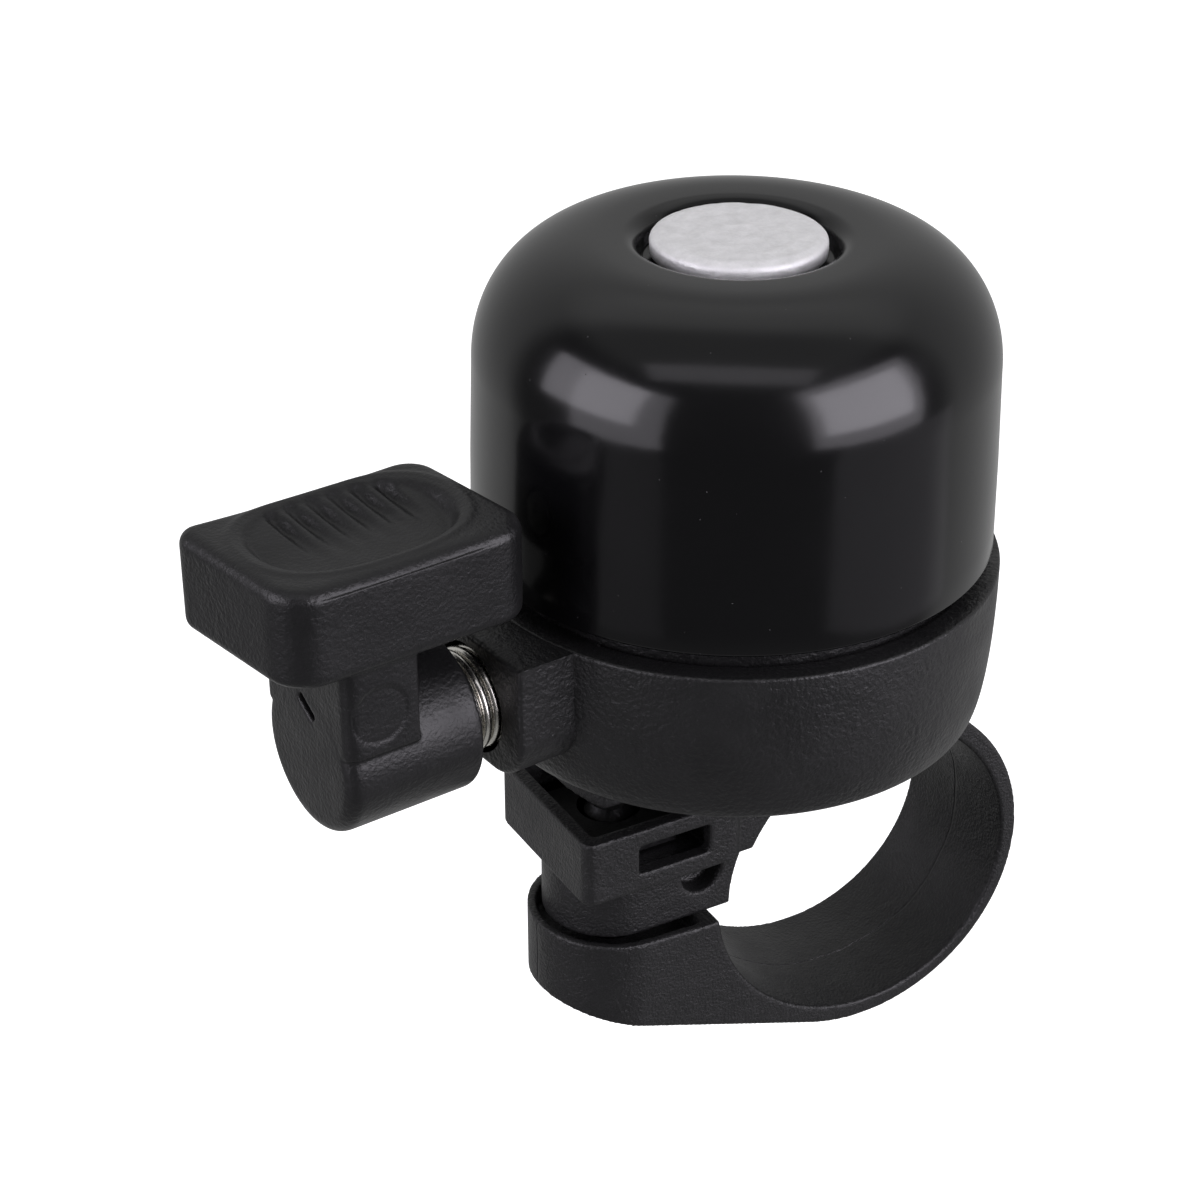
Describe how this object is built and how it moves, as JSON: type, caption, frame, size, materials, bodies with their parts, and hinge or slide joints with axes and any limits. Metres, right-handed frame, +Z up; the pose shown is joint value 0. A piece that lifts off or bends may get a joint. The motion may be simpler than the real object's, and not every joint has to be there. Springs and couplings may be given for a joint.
{
  "type": "bicycle bell",
  "caption": "Round handlebar bell: a black dome on a stem, a spring-mounted thumb striker that flicks against it, and a hinged band clamp for a handlebar.",
  "frame": {"origin": "centre of the handlebar that the clamp holds", "axes": "+Y along the handlebar, +Z up along the bell's axis, the thumb lever towards -X"},
  "size_m": [0.0588, 0.0352, 0.0604],
  "materials": {
    "dome_paint": "gloss black paint",
    "bolt_metal": "cast, slightly rough, bright bevel",
    "black_plastic": "fine-grained moulded plastic",
    "lever_plastic": "satin moulded plastic",
    "nylon": "natural nylon",
    "spring_steel": "bright nickel-plated wire",
    "zinc_steel": "zinc-plated",
    "black_steel": "black-oxidised"
  },
  "bodies": {
    "clamp": {"clamp_bracket": "black_plastic", "clamp_nut": "black_steel", "centre_bolt": "bolt_metal", "centre_nut": "zinc_steel", "lock_washer": "zinc_steel"},
    "strap": {"strap_arm": "black_plastic", "screw_washer": "zinc_steel"},
    "screw": {"clamp_screw": "black_steel"},
    "bell": {"base_cup": "black_plastic", "dome": "dome_paint", "head_washer": "nylon", "dome_bush": "nylon", "spring_root": "spring_steel", "boss_plug": "zinc_steel"},
    "spring": {"spring_middle": "spring_steel"},
    "striker": {"striker_lever": "lever_plastic", "strike_insert": "zinc_steel", "spring_tip": "spring_steel", "lever_plug": "zinc_steel"}
  },
  "joints": [
    {"name": "bell_swivel", "type": "hinge", "parent": "clamp", "child": "bell", "pos_m": [-0.009, 0, 0.015], "axis": [0, 0, 1], "continuous": true},
    {"name": "striker_sway", "type": "hinge", "parent": "bell", "child": "spring", "pos_m": [-0.02998, -0.00224, 0.0211], "axis": [0, 0, 1], "range_deg": [-6, 6], "stiffness_Nm_per_rad": 0.05},
    {"name": "striker_tilt", "type": "hinge", "parent": "spring", "child": "striker", "pos_m": [-0.03078, -0.00233, 0.0211], "axis": [0.1063, -0.9943, 0], "range_deg": [-9, 20], "stiffness_Nm_per_rad": 0.05},
    {"name": "strap_flex", "type": "hinge", "parent": "clamp", "child": "strap", "pos_m": [0.01178, 0, -0.00269], "axis": [0, 1, 0], "range_deg": [-2, 0.7]},
    {"name": "screw_turn", "type": "hinge", "parent": "strap", "child": "screw", "pos_m": [-0.01815, 0, -0.003], "axis": [0, 0, 1], "range_deg": [-540, 190]}
  ],
  "couplings": [
    {"joint": "screw_turn", "follows": "strap_flex", "ratio": 267.45}
  ]
}
